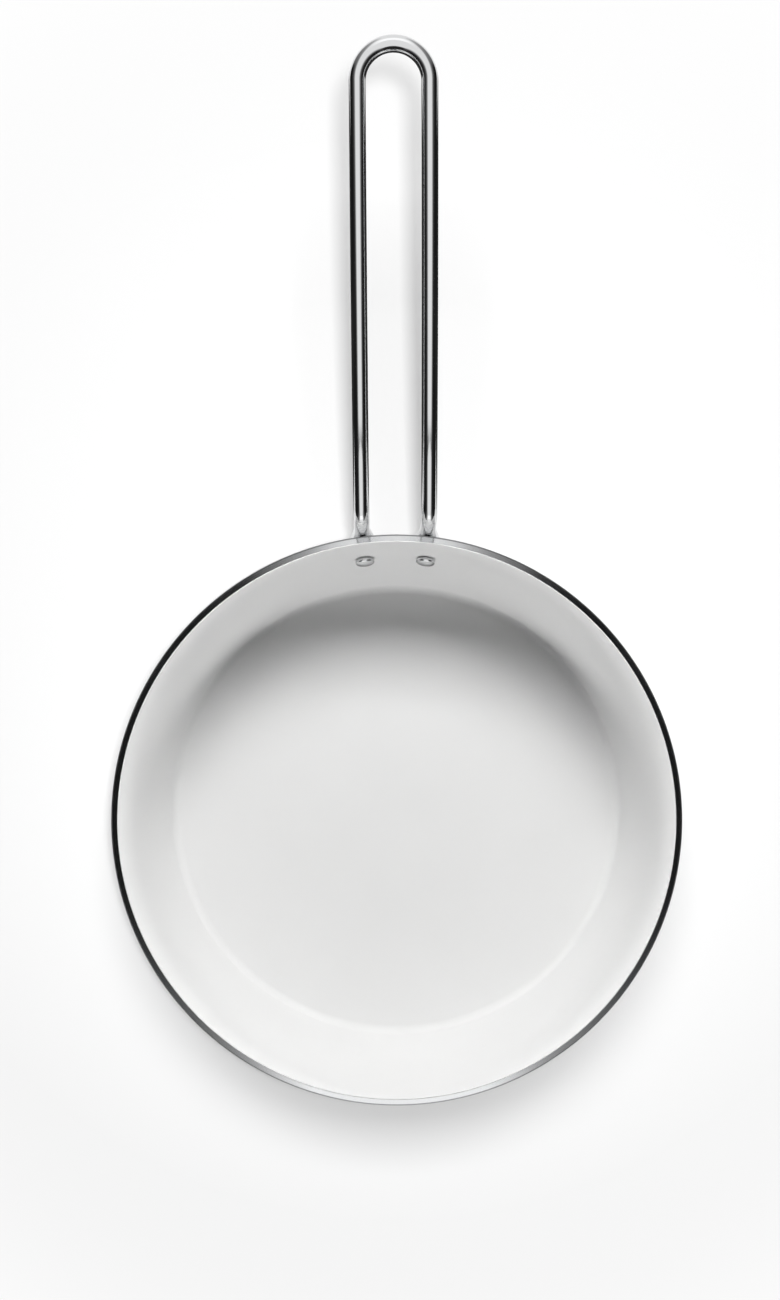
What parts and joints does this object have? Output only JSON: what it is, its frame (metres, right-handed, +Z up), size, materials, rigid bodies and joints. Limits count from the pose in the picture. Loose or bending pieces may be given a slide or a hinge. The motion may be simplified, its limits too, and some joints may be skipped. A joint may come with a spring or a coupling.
{
  "type": "saute pan",
  "caption": "Saute pan with a leaning wall, white ceramic lining, bevelled metal rim edge and a long riveted loop handle of round steel wire.",
  "frame": {"origin": "centre of the flat underside, on the bowl's axis", "axes": "+Z up out of the bowl, +Y along the handle away from the bowl, +X to the right seen from above with the handle pointing away"},
  "size_m": [0.24, 0.426, 0.1207],
  "materials": {
    "shell_steel": "spun satin outside, ground edge at the rim",
    "core_aluminium": "bare turned edge at the rim",
    "white_ceramic": "satin white non-stick",
    "wire_steel": "polished",
    "rivet_steel": "polished"
  },
  "bodies": {
    "root": {"outer_shell": "shell_steel", "aluminium_core": "core_aluminium", "ceramic_lining": "white_ceramic", "handle_wire": "wire_steel", "rivet_left": "rivet_steel", "rivet_right": "rivet_steel"}
  },
  "joints": []
}
